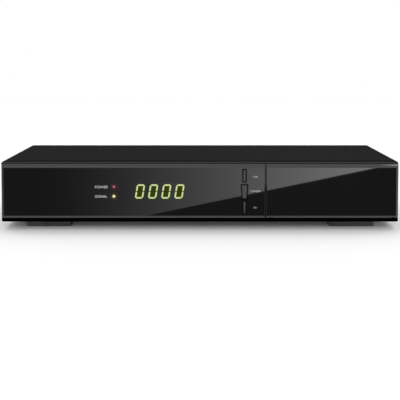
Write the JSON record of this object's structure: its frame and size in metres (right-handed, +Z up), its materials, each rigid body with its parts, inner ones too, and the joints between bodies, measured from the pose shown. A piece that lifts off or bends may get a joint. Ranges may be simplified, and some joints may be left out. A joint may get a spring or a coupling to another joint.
{
  "type": "satellite tv receiver",
  "caption": "Low, wide black set-top receiver with a gloss front plate, a flip-down flap over its card slot, narrow front keys, a digit display, indicator lamps and a row of rear sockets.",
  "frame": {"origin": "on the floor, under the middle of the whole receiver with its rear connectors", "axes": "+X to the right along the front, +Y from the front to the rear sockets, +Z up"},
  "size_m": [0.26, 0.1914, 0.045],
  "materials": {
    "black_steel": "satin black paint",
    "plain_steel": "zinc-plated sheet",
    "satin_black": "satin",
    "gloss_black": "polished",
    "dark_plastic": "matt",
    "pale_plastic": "matt",
    "rubber": "matt",
    "board_green": "satin solder mask",
    "board_tan": "matt",
    "tin_plate": "tinned",
    "nickel": "nickel plate",
    "aluminium": "extruded",
    "red_lens": "clear tinted",
    "yellow_lens": "clear tinted",
    "smoked_lens": "smoked",
    "blue_sleeve": "shrink sleeve",
    "amber_tape": "tape",
    "pale_cable": "satin",
    "glass": "clear"
  },
  "bodies": {
    "receiver": {"chassis_tray": "plain_steel", "top_cover": "black_steel", "front_fascia": "satin_black", "front_plate": "gloss_black", "door_catch": "pale_plastic", "channel_up_switch": "dark_plastic", "standby_switch": "dark_plastic", "channel_down_switch": "dark_plastic", "display_board": "board_green", "display_module": "dark_plastic", "infrared_eye": "smoked_lens", "power_lamp": "red_lens", "signal_lamp": "yellow_lens", "card_reader": "dark_plastic", "front_usb_socket": "nickel", "front_left_foot": "rubber", "front_right_foot": "rubber", "rear_left_foot": "rubber", "rear_right_foot": "rubber", "power_board": "board_tan", "transformer": "amber_tape", "mains_capacitor": "blue_sleeve", "power_heat_sink": "aluminium", "mains_choke": "amber_tape", "fuse": "glass", "output_capacitor_1": "blue_sleeve", "output_capacitor_2": "blue_sleeve", "output_capacitor_3": "blue_sleeve", "power_harness": "pale_cable", "inlet_lead": "pale_cable", "switch_lead": "pale_cable", "main_board": "board_green", "processor": "dark_plastic", "processor_heat_sink": "aluminium", "memory_chip_1": "dark_plastic", "memory_chip_2": "dark_plastic", "display_ribbon": "pale_cable", "mains_inlet": "dark_plastic", "power_switch": "dark_plastic", "network_usb_socket": "tin_plate", "av_socket_block": "dark_plastic", "scart_socket": "dark_plastic", "hdmi_socket": "nickel", "terrestrial_tuner": "tin_plate", "aerial_in_socket": "nickel", "aerial_out_plug": "nickel", "satellite_tuner": "tin_plate", "lnb_in_connector": "nickel", "lnb_out_connector": "nickel"},
    "flap_door": {"flap_door": "gloss_black"},
    "channel_up_key": {"channel_up_key": "satin_black", "channel_up_plunger": "pale_plastic"},
    "standby_key": {"standby_key": "satin_black", "standby_plunger": "pale_plastic"},
    "channel_down_key": {"channel_down_key": "satin_black", "channel_down_plunger": "pale_plastic"},
    "power_rocker": {"power_rocker": "dark_plastic"}
  },
  "joints": [
    {"name": "flap_hinge", "type": "hinge", "parent": "receiver", "child": "flap_door", "pos_m": [0.08655, -0.09333, 0.0096], "axis": [1, 0, 0], "range_deg": [0, 90]},
    {"name": "channel_up_press", "type": "slide", "parent": "receiver", "child": "channel_up_key", "axis": [0, 1, 0], "range_m": [0, 0.0005], "stiffness_N_per_m": 400, "springref_m": -0.002},
    {"name": "standby_press", "type": "slide", "parent": "receiver", "child": "standby_key", "axis": [0, 1, 0], "range_m": [0, 0.0005], "stiffness_N_per_m": 400, "springref_m": -0.002},
    {"name": "channel_down_press", "type": "slide", "parent": "receiver", "child": "channel_down_key", "axis": [0, 1, 0], "range_m": [0, 0.0005], "stiffness_N_per_m": 400, "springref_m": -0.002},
    {"name": "rocker_pivot", "type": "hinge", "parent": "receiver", "child": "power_rocker", "pos_m": [-0.08178, 0.08367, 0.021], "axis": [0, 0, 1], "range_deg": [-18, 0]}
  ]
}
